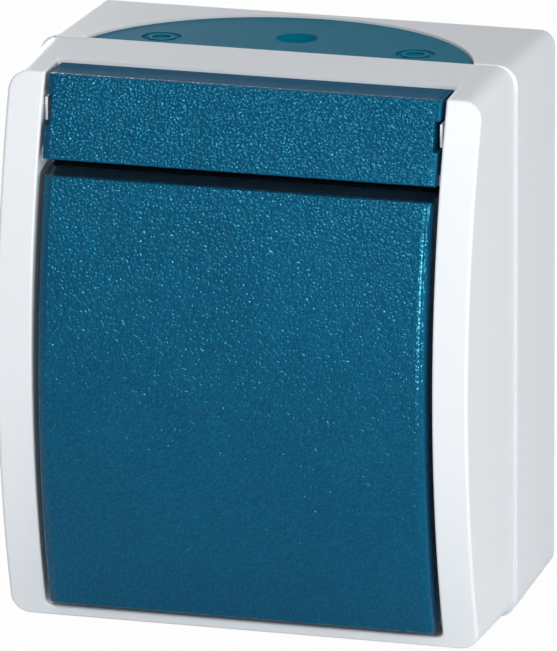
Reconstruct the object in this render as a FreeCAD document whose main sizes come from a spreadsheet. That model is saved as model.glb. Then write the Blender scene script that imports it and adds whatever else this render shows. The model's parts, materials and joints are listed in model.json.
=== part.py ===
import FreeCAD, Part
import math
import os
import re
import Sketcher

# Surface-mounted weatherproof rocker switch, in millimetres.
# The origin is the middle of the wall face, X runs to the right, Y into the wall, Z up.
# A reach is a distance forward of the wall face, so it is counted along -Y.

# Driving dimensions
dimensions = {
    # Rear box
    "case_width": 68.0,
    "case_height": 78.6,
    "box_depth": 23.2,
    "box_draft": 0.75,
    "box_wall": 2.4,
    "floor_thickness": 2.4,
    "wall_corner_radius": 2.1,
    "inner_radius": 1.5,
    "parting_bevel": 0.1,
    "wall_edge_bevel": 0.5,
    "tongue_width": 1.1,
    "tongue_height": 2.0,
    # Wall fixing slots, one above the other
    "fixing_margin": 9.3,
    "slot_width": 4.5,
    "slot_length": 7.5,
    # Half-moon cable entry in the top wall
    "entry_radius": 28.5,
    "entry_centre_reach": 30.4,
    "entry_offset": 0.3,
    "entry_gap": 0.3,
    "entry_recess": 0.25,
    "entry_flange": 1.4,
    "pilot_reach": 14.4,
    "pilot_radius": 2.95,
    "pilot_floor_radius": 2.0,
    "pilot_depth": 1.5,
    "nozzle_radius": 8.5,
    "nozzle_wall": 1.2,
    "nozzle_length": 3.2,
    "mark_offset": 18.1,
    "mark_reach": 19.0,
    "mark_radius": 2.75,
    "mark_ring_radius": 1.9,
    "mark_ring_width": 0.6,
    "mark_depth": 0.25,
    # Round knock-out in the bottom wall
    "knockout_radius": 9.0,
    "knockout_groove": 0.8,
    "knockout_reach": 12.5,
    # Front cover
    "cover_inset": 0.42,
    "cover_top_inset": 0.12,
    "cover_top_draft": 0.85,
    "cover_bottom_draft": 0.2,
    "cover_side_draft": 0.25,
    "cover_wall": 2.3,
    "cover_corner_radius": 2.7,
    "cover_edge_radius": 0.45,
    "front_reach": 46.6,
    "front_radius": 112.0,
    "front_centre_height": -2.2,
    "rail_width": 5.25,
    "rail_edge_radius": 0.35,
    "core_width": 1.5,
    "core_length": 54.0,
    "core_reach": 41.0,
    "lip_height": 1.53,
    "well_radius": 0.9,
    "web_reach": 36.0,
    "web_thickness": 2.1,
    "seal_gap": 0.15,
    "gasket_height": 1.0,
    # Strip above the rocker
    "strip_height": 12.4,
    "strip_gap": 0.58,
    "strip_top_margin": 1.17,
    "strip_edge_radius": 0.3,
    "strip_seam": 0.1,
    "strip_thickness": 1.8,
    "bay_reach": 33.0,
    "divider_height": 1.2,
    "divider_margin": 2.16,
    "notch_height": 4.1,
    "notch_depth": 0.7,
    "notch_margin": 5.9,
    "latch_thickness": 0.33,
    "latch_gap": 0.3,
    "latch_height": 3.2,
    "latch_reach": 39.9,
    # Rocker
    "rocker_gap": 0.83,
    "rocker_top_gap": 2.2,
    "rocker_bottom_gap": 0.9,
    "rocker_chamfer_rise": 0.8,
    "rocker_chamfer_reach": 39.6,
    "rocker_stand": 0.45,
    "rocker_lean": 2.5,
    "rocker_wall": 1.9,
    "rocker_edge_radius": 0.9,
    "rocker_corner_cut": 0.7,
    "rocker_rear_top": 37.0,
    "rocker_rear_bottom": 39.6,
    "rib_offset": 16.0,
    "rib_thickness": 1.4,
    "rib_reach": 41.5,
    "swing": 5.0,
    # Mechanism
    "pivot_reach": 35.5,
    "pivot_height": -6.0,
    "base_side_room": 8.35,
    "base_height": 40.0,
    "base_back": 6.0,
    "base_front": 27.0,
    "base_radius": 1.5,
    "chamber_reach": 11.2,
    "chamber_width": 13.0,
    "chamber_height": 34.0,
    "ear_margin": 0.85,
    "ear_height": 10.0,
    "ear_thickness": 2.0,
    "ear_hole_margin": 4.35,
    "fit_gap": 0.3,
    "cap_width": 28.4,
    "cap_height": 38.0,
    "cap_thickness": 2.2,
    "cap_window_width": 14.4,
    "cap_window_height": 17.0,
    "cheek_inner": 9.8,
    "cheek_thickness": 2.0,
    "cheek_height": 8.0,
    "cheek_margin": 2.1,
    "trunnion_radius": 1.8,
    "trunnion_gap": 0.05,
    "hub_height": 10.0,
    "hub_back": 33.0,
    "toggle_plate_width": 24.0,
    "toggle_plate_height": 30.6,
    "toggle_plate_back": 38.2,
    "toggle_plate_thickness": 1.8,
    "stem_radius": 3.4,
    "stem_back": 24.5,
    "stem_bore_radius": 2.3,
    "stem_bore_front": 34.5,
    "leg_offset": 11.0,
    "leg_thickness": 1.6,
    "leg_width": 10.0,
    "leg_slot_gap": 0.5,
    "hook_height": 0.8,
    "plunger_radius": 2.15,
    "plunger_tip": 15.0,
    "plunger_front": 27.0,
    "spring_radius": 1.85,
    "spring_wire_radius": 0.25,
    "spring_pitch": 1.1,
    "seal_wall": 1.4,
    "seal_lip": 3.3,
    "seal_lip_thickness": 0.8,
    # Contacts and terminals
    "blade_width": 7.0,
    "blade_half_length": 10.0,
    "blade_thickness": 0.8,
    "blade_rise": 0.9,
    "blade_reach": 13.9,
    "knife_gap": 0.15,
    "knife_width": 6.0,
    "sheet_thickness": 1.0,
    "arm_width": 5.0,
    "contact_offset": 8.5,
    "contact_radius": 1.4,
    "contact_thickness": 0.7,
    "contact_gap": 0.15,
    "terminal_margin": 1.5,
    "terminal_width": 6.0,
    "terminal_offset": 10.0,
    "terminal_height": 8.0,
    "terminal_screw_radius": 1.6,
    "terminal_head_radius": 2.6,
    "terminal_head_height": 2.0,
    "terminal_screw_length": 8.0,
    "clamp_thickness": 1.6,
    "clamp_gap": 0.8,
    "chamber_margin": 0.4,
    # Screws
    "screw_radius": 1.5,
    "pilot_hole_depth": 14.0,
    "screw_head_radius": 2.9,
    "screw_head_height": 2.0,
    "screw_length": 12.0,
    "post_radius": 3.3,
    "cover_post_margin": 7.85,
    "cover_post_room": 5.0,
    "cover_boss_radius": 4.4,
    "cover_boss_length": 3.9,
    "counterbore_radius": 3.3,
    "counterbore_floor": 1.5,
    # Loose block for the protective conductor
    "earth_across": 14.0,
    "earth_margin": 10.15,
    "earth_width": 10.0,
    "earth_length": 8.0,
    "earth_depth": 8.0,
    "earth_bore_radius": 1.7,
    "earth_screw_radius": 1.5,
    "earth_screw_offset": 2.4,
    "holder_wall": 1.2,
    "holder_depth": 4.0,
}

doc = FreeCAD.newDocument("WallSwitch")
sheet = doc.addObject("Spreadsheet::Sheet", "Sizes")
for row, (alias, value) in enumerate(dimensions.items(), 1):
    sheet.set("A%d" % row, alias)
    sheet.set("B%d" % row, str(value))
    sheet.setAlias("B%d" % row, alias)
doc.recompute()

# Places worked out from the driving dimensions
derived = {
    "half_width": "(case_width / 2)",
    "half_height": "(case_height / 2)",
    "inner_half_width": "(case_width / 2 - box_draft - box_wall)",
    "inner_half_height": "(case_height / 2 - box_draft - box_wall)",
    "cover_half_width": "(case_width / 2 - cover_inset)",
    "cover_half_height": "(case_height / 2 - cover_inset)",
    "well_half_width": "(case_width / 2 - cover_inset - rail_width)",
    "well_bottom": "(-case_height / 2 + cover_inset + cover_bottom_draft + lip_height)",
    "strip_top": "(case_height / 2 - strip_top_margin)",
    "strip_half_width": "(well_half_width - strip_gap)",
    "strip_bottom": "(case_height / 2 - strip_height)",
    "well_top": "(case_height / 2 - strip_height - strip_seam)",
    "divider_reach": "(front_reach - front_radius + sqrt(front_radius ^ 2"
    " - (case_height / 2 - strip_height - front_centre_height) ^ 2) - divider_margin)",
    "notch_centre": "(case_height / 2 - notch_margin)",
    "rocker_top": "(case_height / 2 - strip_height - rocker_top_gap)",
    "rocker_bottom": "(well_bottom + rocker_bottom_gap)",
    "fixing_height": "(case_height / 2 - fixing_margin)",
    "base_half_width": "(inner_half_width - base_side_room)",
    "ear_half_width": "(inner_half_width - ear_margin)",
    "ear_hole_offset": "(inner_half_width - ear_hole_margin)",
    "terminal_outer": "(base_half_width - terminal_margin)",
    "terminal_inner": "(base_half_width - terminal_margin - terminal_width)",
    "cover_post_across": "(inner_half_width - cover_post_margin)",
    "cover_post_top": "(pivot_height + base_height / 2 + cover_post_room)",
    "cover_post_bottom": "(pivot_height - base_height / 2 - cover_post_room)",
    "earth_height": "(inner_half_height - earth_margin)",
    "rocker_half_width": "(case_width / 2 - cover_inset - rail_width - rocker_gap)",
    "web_back": "(web_reach - web_thickness)",
    "cheek_outer": "(cheek_inner + cheek_thickness)",
    "cap_front": "(base_front + cap_thickness)",
    "fixed_tip_front": "(blade_reach + blade_rise * contact_offset / blade_half_length"
    " - contact_offset * sin(swing) - contact_thickness - contact_gap)",
}


def formula(text):
    """Give each size its place in the sheet, after writing out the derived places."""
    text = str(text)
    while any(re.search(r"\b%s\b" % name, text) for name in derived):
        for name, meaning in derived.items():
            text = re.sub(r"\b%s\b" % name, meaning, text)
    for alias in dimensions:
        text = re.sub(r"(?<!\.)\b%s\b" % alias, "Sizes." + alias, text)
    return text


def bind(item, prop, text):
    item.setExpression(prop, formula(text))


# Outlines, pads and rounded blocks
def new_sketch(body, name, plane, offset):
    sketch = body.newObject("Sketcher::SketchObject", name)
    role = {"front": "XZ_Plane", "side": "YZ_Plane", "top": "XY_Plane"}[plane]
    support = [item for item in body.Origin.OriginFeatures if item.Role == role][0]
    sketch.AttachmentSupport = [(support, "")]
    sketch.MapMode = "FlatFace"
    bind(sketch, "AttachmentOffset.Base.z", offset)
    return sketch


def fix_point(sketch, geometry, end, across, up):
    point = sketch.getPoint(geometry, end)
    for kind, start, text in (("DistanceX", point.x, across), ("DistanceY", point.y, up)):
        if text is not None:
            number = sketch.addConstraint(Sketcher.Constraint(kind, -1, 1, geometry, end, start))
            bind(sketch, "Constraints[%d]" % number, text)


def outline(body, name, plane, corners, offset="0", arc=None):
    """Closed outline through corners given as two formulas each, in the plane's own axes.

    In the side plane the first of the two is a reach. The side after corner number arc[0]
    may be an arc, given as (corner, centre reach, centre height, radius, first, last); the
    last two are shares of the case height that say roughly where the arc ends.
    """
    sketch = new_sketch(body, name, plane, offset)
    count = len(corners)
    across = [("-(%s)" % first) if plane == "side" else first for first, second in corners]
    turns = [FreeCAD.Rotation(FreeCAD.Vector(0, 0, 1), 360.0 * n / count) for n in range(count)]
    starts = [turn.multVec(FreeCAD.Vector(count, 0, 0)) for turn in turns]
    if arc:
        centre_reach, centre_height, radius, first, last = arc[1:]
        middle = FreeCAD.Vector(-read(centre_reach), read(centre_height), 0)
        starts[arc[0]] = on_arc(middle, read(radius), first * dimensions["case_height"])
        starts[arc[0] + 1] = on_arc(middle, read(radius), last * dimensions["case_height"])
    for n in range(count):
        here = starts[n]
        there = starts[(n + 1) % count]
        if arc and n == arc[0]:
            crown = on_arc(middle, read(radius), (here.y + there.y) / 2)
            sketch.addGeometry(Part.Arc(here, crown, there), False)
        else:
            sketch.addGeometry(Part.LineSegment(here, there), False)
    ends = {}
    for n in range(count):
        ends[n] = (1, 2)
    if arc:
        low_first = sketch.getPoint(arc[0], 1).distanceToPoint(starts[arc[0]]) > 0.001
        ends[arc[0]] = (2, 1) if low_first else (1, 2)
    for n in range(count):
        after = (n + 1) % count
        joint = Sketcher.Constraint("Coincident", n, ends[n][1], after, ends[after][0])
        sketch.addConstraint(joint)
    for n in range(count):
        on_curve = arc and n in (arc[0], arc[0] + 1)
        fix_point(sketch, n, ends[n][0], None if on_curve else across[n], corners[n][1])
    if arc:
        fix_point(sketch, arc[0], 3, "-(%s)" % centre_reach, centre_height)
        number = sketch.addConstraint(Sketcher.Constraint("Radius", arc[0], read(radius)))
        bind(sketch, "Constraints[%d]" % number, radius)
    return sketch


def rounded_outline(body, name, half_width, half_height, radius, offset="0"):
    """Rectangle about the middle of the wall face with rounded corners, in the front plane."""
    sketch = new_sketch(body, name, "front", offset)
    wide = dimensions["case_width"] / 2
    tall = dimensions["case_height"] / 2
    bend = dimensions["wall_corner_radius"]
    corners = [(wide, tall, 0), (-wide, tall, 90), (-wide, -tall, 180), (wide, -tall, 270)]
    for x, z, turn in corners:
        centre = FreeCAD.Vector(x - bend * (1 if x > 0 else -1), z - bend * (1 if z > 0 else -1), 0)
        circle = Part.Circle(centre, FreeCAD.Vector(0, 0, 1), bend)
        start = math.radians(turn)
        sketch.addGeometry(Part.ArcOfCircle(circle, start, start + math.pi / 2), False)
    for n in range(4):
        here = sketch.getPoint(n, 2)
        there = sketch.getPoint((n + 1) % 4, 1)
        sketch.addGeometry(Part.LineSegment(here, there), False)
    for n in range(4):
        sketch.addConstraint(Sketcher.Constraint("Tangent", n, 2, n + 4, 1))
        sketch.addConstraint(Sketcher.Constraint("Tangent", n + 4, 2, (n + 1) % 4, 1))
        kind = "Horizontal" if n % 2 == 0 else "Vertical"
        sketch.addConstraint(Sketcher.Constraint(kind, n + 4))
        if n:
            sketch.addConstraint(Sketcher.Constraint("Equal", 0, n))
    number = sketch.addConstraint(Sketcher.Constraint("Radius", 0, bend))
    bind(sketch, "Constraints[%d]" % number, radius)
    fix_point(sketch, 4, 1, None, half_height)
    fix_point(sketch, 5, 1, "-(%s)" % half_width, None)
    fix_point(sketch, 6, 1, None, "-(%s)" % half_height)
    fix_point(sketch, 7, 1, half_width, None)
    return sketch


def read(chain):
    """Rough value of a plus-and-minus chain of sizes, to start an arc with."""
    total = 0.0
    for sign, word in re.findall(r"([+-]?)\s*([a-z_]+)", chain):
        total += -dimensions[word] if sign == "-" else dimensions[word]
    return total


def on_arc(middle, radius, height):
    across = (radius ** 2 - (height - middle.y) ** 2) ** 0.5
    return FreeCAD.Vector(middle.x - across, height, 0)


def new_body(name):
    body = doc.addObject("PartDesign::Body", name)
    body.Label = name
    return body


def pad(body, sketch, length, symmetric=False, taper=None):
    feature = body.newObject("PartDesign::Pad", sketch.Name + "_pad")
    feature.Profile = sketch
    bind(feature, "Length", length)
    if symmetric:
        feature.SideType = "Symmetric"
    if taper:
        bind(feature, "TaperAngle", taper)
    doc.recompute()
    return feature


def pocket(body, sketch, length):
    """Cut as deep on both sides of the sketch's plane."""
    feature = body.newObject("PartDesign::Pocket", sketch.Name + "_pocket")
    feature.Profile = sketch
    feature.SideType = "Symmetric"
    bind(feature, "Length", length)
    doc.recompute()
    return feature


def dress(body, kind, name, base, edges, size_name, size):
    feature = body.newObject("PartDesign::" + kind, name)
    feature.Base = (base, edges)
    bind(feature, size_name, size)
    doc.recompute()
    return feature


def edges_where(shape, test):
    return ["Edge%d" % number for number, edge in enumerate(shape.Edges, 1) if test(edge)]


def runs_forward(edge):
    box = edge.BoundBox
    return box.YLength > 5 * max(box.XLength, box.ZLength)


def rectangle(left, right, low, high):
    return [(right, high), (left, high), (left, low), (right, low)]


def rounded_block(name, half_width, low, high, back, front, radius):
    """Block with its four edges that run forward rounded."""
    body = new_body(name)
    sides = rectangle("-(%s)" % half_width, half_width, low, high)
    shape = pad(body, outline(body, name + "_outline", "front", sides, back),
                "(%s) - (%s)" % (front, back))
    edges = edges_where(shape.Shape, runs_forward)
    dress(body, "Fillet", name + "_corners", shape, edges, "Radius", radius)
    return body


# Plain solids and booleans
def place(item, across, reach, height):
    bind(item, "Placement.Base.x", across)
    bind(item, "Placement.Base.y", "-(%s)" % reach)
    bind(item, "Placement.Base.z", height)


def block(name, left, right, back, front, low, high):
    item = doc.addObject("Part::Box", name)
    bind(item, "Length", "(%s) - (%s)" % (right, left))
    bind(item, "Width", "(%s) - (%s)" % (front, back))
    bind(item, "Height", "(%s) - (%s)" % (high, low))
    place(item, left, front, low)
    return item


def rod(name, radius, back, front, across, height):
    """Cylinder along the reach, from back to front."""
    item = doc.addObject("Part::Cylinder", name)
    item.Placement.Rotation = FreeCAD.Rotation(FreeCAD.Vector(1, 0, 0), 90)
    bind(item, "Radius", radius)
    bind(item, "Height", "(%s) - (%s)" % (front, back))
    place(item, across, back, height)
    return item


def upright(name, radius, low, high, across, reach):
    item = doc.addObject("Part::Cylinder", name)
    bind(item, "Radius", radius)
    bind(item, "Height", "(%s) - (%s)" % (high, low))
    place(item, across, reach, low)
    return item


def shaft(name, radius, left, right, reach, height):
    item = doc.addObject("Part::Cylinder", name)
    item.Placement.Rotation = FreeCAD.Rotation(FreeCAD.Vector(0, 1, 0), 90)
    bind(item, "Radius", radius)
    bind(item, "Height", "(%s) - (%s)" % (right, left))
    place(item, left, reach, height)
    return item


def fused(name, items):
    if len(items) == 1:
        return items[0]
    item = doc.addObject("Part::MultiFuse", name)
    item.Shapes = items
    item.Refine = True
    item.Label = name
    return item


def cut(name, base, tools):
    item = doc.addObject("Part::Cut", name)
    item.Base = base
    item.Tool = fused(name + "_tools", tools)
    item.Refine = True
    item.Label = name
    return item


def common(name, first, second):
    item = doc.addObject("Part::Common", name)
    item.Base = first
    item.Tool = second
    item.Refine = True
    item.Label = name
    return item


def group(name, items):
    """Separate solids of one node."""
    item = doc.addObject("Part::Compound", name)
    item.Links = items
    item.Label = name
    return item


def turned(item, angle, reach, height):
    """Turn a finished piece about the X axis through a pivot; a positive angle tips its top out."""
    item.Placement.Rotation = FreeCAD.Rotation(FreeCAD.Vector(1, 0, 0), 1)
    bind(item, "Placement.Rotation.Angle", angle)
    places = {"a": "(%s)" % angle, "r": "(%s)" % reach, "h": "(%s)" % height}
    bind(item, "Placement.Base.y", "-%(r)s + %(r)s * cos(%(a)s) + %(h)s * sin(%(a)s)" % places)
    bind(item, "Placement.Base.z", "%(h)s + %(r)s * sin(%(a)s) - %(h)s * cos(%(a)s)" % places)
    return item


# Points that several pieces share
cover_post_places = [("-cover_post_across", "cover_post_top"),
                     ("cover_post_across", "cover_post_bottom")]
ear_places = [("-ear_hole_offset", "pivot_height"), ("ear_hole_offset", "pivot_height")]
outputs = [("lower", "-"), ("upper", "+")]
far = "front_reach + case_height"


def make_outer_block():
    """Outside of the rear box: wider at the rim than at the wall."""
    body = new_body("box_outside")
    wall_side = rounded_outline(body, "wall_outline", "half_width - box_draft",
                                "half_height - box_draft", "wall_corner_radius")
    shape = pad(body, wall_side, "box_depth", taper="atan(box_draft / box_depth)")
    rim = edges_where(shape.Shape, lambda edge: edge.BoundBox.YMax < -dimensions["box_depth"] + 0.01)
    shape = dress(body, "Chamfer", "rim_bevel", shape, rim, "Size", "parting_bevel")
    wall = edges_where(shape.Shape, lambda edge: edge.BoundBox.YMin > -0.01)
    dress(body, "Chamfer", "wall_bevel", shape, wall, "Size", "wall_edge_bevel")
    return body


def make_tongue_ring():
    """Ring that stands forward of the rim and goes into the cover."""
    front = "box_depth + tongue_height"
    outside = rounded_block("tongue_outside", "inner_half_width + tongue_width",
                            "-inner_half_height - tongue_width", "inner_half_height + tongue_width",
                            "box_depth - tongue_height", front, "inner_radius + tongue_width")
    inside = rounded_block("tongue_inside", "inner_half_width", "-inner_half_height",
                           "inner_half_height", "box_depth - 2 * tongue_height",
                           front + " + tongue_height", "inner_radius")
    return cut("tongue_ring", outside, [inside])


def make_rear_box(outside, ring):
    cavity = rounded_block("box_cavity", "inner_half_width", "-inner_half_height",
                           "inner_half_height", "floor_thickness", far, "inner_radius")
    shell = cut("box_shell", outside, [cavity])
    added = [shell, ring]
    holes = []
    for number, (across, height) in enumerate(ear_places):
        top = "base_front - ear_thickness"
        added.append(rod("insert_post_%d" % number, "post_radius", "0.5 * floor_thickness", top,
                         across, height))
        holes.append(rod("insert_pilot_%d" % number, "screw_radius", top + " - pilot_hole_depth",
                         far, across, height))
    for number, (across, height) in enumerate(cover_post_places):
        top = "web_back - cover_boss_length"
        added.append(rod("cover_post_%d" % number, "post_radius", "0.5 * floor_thickness", top,
                         across, height))
        holes.append(rod("cover_pilot_%d" % number, "screw_radius", top + " - pilot_hole_depth",
                         far, across, height))
    # Holder walls beside the earth block
    side = "earth_width / 2 + fit_gap / 2"
    for sign in ("-", "+"):
        near = "earth_across %s (%s)" % (sign, side)
        away = "earth_across %s (%s + holder_wall)" % (sign, side)
        left, right = (away, near) if sign == "-" else (near, away)
        added.append(block("holder_wall_" + ("left" if sign == "-" else "right"), left, right,
                           "0.5 * floor_thickness", "floor_thickness + holder_depth",
                           "earth_height - earth_length / 2", "earth_height + earth_length / 2"))
    # Half-moon opening of the top wall
    holes.append(upright("entry_opening", "entry_radius", "inner_half_height", far,
                         "entry_offset", "entry_centre_reach"))
    # Slots for the wall screws, one above the other
    for sign, word in (("-", "low"), ("+", "high")):
        centre = "%s fixing_height" % sign
        straight = "(slot_length - slot_width) / 2"
        for end_sign, end_word in (("-", "low"), ("+", "high")):
            holes.append(rod("slot_%s_end_%s" % (word, end_word), "slot_width / 2",
                             "-floor_thickness", "2 * floor_thickness", "0",
                             "%s %s %s" % (centre, end_sign, straight)))
        holes.append(block("slot_" + word, "-slot_width / 2", "slot_width / 2",
                           "-floor_thickness", "2 * floor_thickness",
                           "%s - %s" % (centre, straight), "%s + %s" % (centre, straight)))
    # Groove of the knock-out, cut from below
    groove_outer = upright("knockout_outer", "knockout_radius", "-half_height - box_wall",
                           "-half_height + box_wall / 2", "0", "knockout_reach")
    groove_inner = upright("knockout_inner", "knockout_radius - knockout_groove",
                           "-half_height - 2 * box_wall", "-half_height + box_wall",
                           "0", "knockout_reach")
    holes.append(cut("knockout_ring", groove_outer, [groove_inner]))
    body = fused("rear_box_solid", added)
    return cut("rear_box", body, holes)


def make_cable_entry_insert(outside, ring):
    """Half-moon plate that fills the opening, with a flange under the wall and a blind pilot."""
    plug = upright("entry_plug", "entry_radius - entry_gap", "inner_half_height", far,
                   "entry_offset", "entry_centre_reach")
    lowered = group("entry_outside", [outside])
    bind(lowered, "Placement.Base.z", "-entry_recess")
    plate = common("entry_plate", lowered, plug)
    flange_disc = upright("entry_flange_disc", "entry_radius + entry_flange",
                          "inner_half_height - entry_flange", "inner_half_height",
                          "entry_offset", "entry_centre_reach")
    flange_room = block("entry_flange_room", "-inner_half_width + fit_gap",
                        "inner_half_width - fit_gap", "floor_thickness + fit_gap", "box_depth",
                        "0", "half_height")
    flange = common("entry_flange_plate", flange_disc, flange_room)
    ring_room = block("entry_tongue_room", "-entry_radius + 4 * entry_gap",
                      "entry_radius - 4 * entry_gap", "box_depth - entry_flange", far,
                      "inner_half_height", "half_height")
    tongue_plug = upright("entry_tongue_plug", "entry_radius - entry_gap", "0", far,
                          "entry_offset", "entry_centre_reach")
    tongue = common("entry_tongue", common("entry_tongue_part", ring, ring_room), tongue_plug)
    nozzle = upright("nozzle_outside", "nozzle_radius",
                     "inner_half_height - entry_flange - nozzle_length",
                     "inner_half_height - entry_flange / 2", "entry_offset", "pilot_reach")
    bore = upright("nozzle_inside", "nozzle_radius - nozzle_wall",
                   "inner_half_height - entry_flange - 2 * nozzle_length",
                   "inner_half_height - entry_flange", "entry_offset", "pilot_reach")
    solid = fused("entry_solid", [plate, flange, tongue, nozzle])
    surface = "half_height - entry_recess - box_draft * (1 - pilot_reach / box_depth)"
    pilot = doc.addObject("Part::Cone", "pilot_recess")
    bind(pilot, "Radius1", "pilot_floor_radius")
    bind(pilot, "Radius2", "2 * pilot_radius - pilot_floor_radius")
    bind(pilot, "Height", "2 * pilot_depth")
    place(pilot, "entry_offset", "pilot_reach", surface + " - pilot_depth")
    marks = []
    for sign, word in (("-", "left"), ("+", "right")):
        across = "entry_offset %s mark_offset" % sign
        level = ("half_height - entry_recess - box_draft * (1 - mark_reach / box_depth)"
                 " - mark_depth")
        disc = upright("mark_" + word, "mark_radius", level, far, across, "mark_reach")
        ring_outside = upright("mark_ring_outside_" + word, "mark_ring_radius", "half_height / 2",
                               far, across, "mark_reach")
        ring_inside = upright("mark_ring_inside_" + word, "mark_ring_radius - mark_ring_width",
                              "0", "2 * half_height", across, "mark_reach")
        marks.append(cut("mark_recess_" + word, disc,
                         [cut("mark_ring_" + word, ring_outside, [ring_inside])]))
    return cut("cable_entry_insert", solid, [bore, pilot] + marks)


def make_rim_gasket():
    """Soft ring between the end of the tongue and the step in the cover."""
    back = "box_depth + tongue_height"
    outside = rounded_block("gasket_outside", "inner_half_width + tongue_width + seal_gap / 2",
                            "-inner_half_height - tongue_width - seal_gap / 2",
                            "inner_half_height + tongue_width + seal_gap / 2",
                            back, back + " + gasket_height", "inner_radius + tongue_width")
    inside = rounded_block("gasket_inside", "cover_half_width - cover_wall",
                           "-cover_half_height + cover_wall", "cover_half_height - cover_wall",
                           back + " - gasket_height", back + " + 2 * gasket_height",
                           "inner_radius")
    return cut("rim_gasket", outside, [inside])


def make_front_cover():
    """Cover with an arched front, two rails, the bay of the strip and the rocker's well."""
    body = new_body("cover_blank")
    top = "half_height - cover_top_inset"
    corners = [("box_depth", top), ("0", top + " - cover_top_draft"),
               ("0", "-cover_half_height + cover_bottom_draft"),
               ("box_depth", "-cover_half_height")]
    arc = (1, "front_reach - front_radius", "front_centre_height", "front_radius", 0.48, -0.48)
    sketch = outline(body, "cover_profile", "side", corners, arc=arc)
    pad(body, sketch, "2 * cover_half_width", symmetric=True)
    for sign, word in (("-", "left"), ("", "right")):
        wedge = [(sign + "cover_half_width", "-box_depth"),
                 ("%s(cover_half_width - cover_side_draft)" % sign, "-front_reach"),
                 (sign + "2 * half_width", "-front_reach"), (sign + "2 * half_width", "-box_depth")]
        sketch = outline(body, "cover_side_" + word, "top", wedge)
        shape = pocket(body, sketch, "2 * case_height")
    depth = dimensions["front_reach"] - dimensions["box_depth"]
    long_edges = edges_where(shape.Shape, lambda edge: runs_forward(edge)
                             and edge.BoundBox.YLength > depth / 3)
    shape = dress(body, "Fillet", "cover_corners", shape, long_edges, "Radius",
                  "cover_corner_radius")
    front = edges_where(shape.Shape, lambda edge: edge.BoundBox.YMax < -dimensions["web_reach"])
    dress(body, "Fillet", "cover_front_edge", shape, front, "Radius", "cover_edge_radius")
    cavity_half = "cover_half_width - cover_wall"
    cavity_top = "cover_half_height - cover_wall"
    bay_back = "bay_reach - web_thickness"
    divider_top = "well_top + divider_height"
    rooms = [
        rounded_block("cover_rebate", "inner_half_width + tongue_width + seal_gap",
                      "-inner_half_height - tongue_width - seal_gap",
                      "inner_half_height + tongue_width + seal_gap",
                      "box_depth - tongue_height", "box_depth + tongue_height + gasket_height",
                      "inner_radius + tongue_width"),
        rounded_block("cover_cavity", cavity_half, "-(%s)" % cavity_top, cavity_top,
                      "box_depth - tongue_height", bay_back, "inner_radius"),
        rounded_block("cover_deep_cavity", cavity_half, "-(%s)" % cavity_top,
                      "well_top - web_thickness", "box_depth", "web_back", "inner_radius"),
        rounded_block("rocker_well", "well_half_width", "well_bottom", "well_top",
                      "web_reach", far, "well_radius"),
        block("strip_mouth", "-well_half_width", "well_half_width", "divider_reach", far,
              "well_top - well_radius", far),
        block("strip_bay", "-well_half_width", "well_half_width", "bay_reach", far,
              divider_top, far),
        block("toggle_window", "-toggle_plate_width / 2 - fit_gap",
              "toggle_plate_width / 2 + fit_gap", "box_depth", far,
              "pivot_height - toggle_plate_height / 2 - fit_gap",
              "pivot_height + toggle_plate_height / 2 + fit_gap"),
    ]
    for sign, word in (("-", "left"), ("", "right")):
        middle = "%s(cover_half_width - cover_wall - core_width / 2)" % sign
        rooms.append(block("rail_core_" + word, middle + " - core_width / 2",
                           middle + " + core_width / 2", "box_depth", "core_reach",
                           "pivot_height - core_length / 2", "pivot_height + core_length / 2"))
    hollow = new_body("cover_shell")
    hollow.BaseFeature = cut("cover_rough_shell", body, rooms)
    doc.recompute()
    side = read("case_width") / 2 - read("cover_inset + rail_width")
    inner = edges_where(hollow.Shape, lambda edge: edge.BoundBox.YMin < -dimensions["front_reach"] + 1
                        and edge.BoundBox.ZLength > dimensions["case_height"] / 2
                        and abs(abs(edge.BoundBox.XMin) - side) < 0.01)
    dress(hollow, "Fillet", "rail_inner_edges", hollow.Group[0], inner, "Radius",
          "rail_edge_radius")
    bosses = []
    holes = []
    for sign, word in (("-", "left"), ("", "right")):
        near = "%s(well_half_width - latch_gap)" % sign
        away = "%s(well_half_width - latch_gap - latch_thickness)" % sign
        left, right = (near, away) if sign else (away, near)
        bosses.append(block("latch_" + word, left, right, "bay_reach - web_thickness / 2",
                            "latch_reach", "notch_centre - latch_height / 2",
                            "notch_centre + latch_height / 2"))
    for number, (across, height) in enumerate(cover_post_places):
        bosses.append(rod("cover_boss_%d" % number, "cover_boss_radius",
                          "web_back - cover_boss_length", "web_back + web_thickness / 2",
                          across, height))
        holes.append(rod("cover_hole_%d" % number, "screw_radius + fit_gap", "box_depth", far,
                         across, height))
        holes.append(rod("cover_counterbore_%d" % number, "counterbore_radius",
                         "web_back - cover_boss_length + counterbore_floor", far,
                         across, height))
    return cut("front_cover", fused("cover_with_bosses", [hollow] + bosses), holes)


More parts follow.
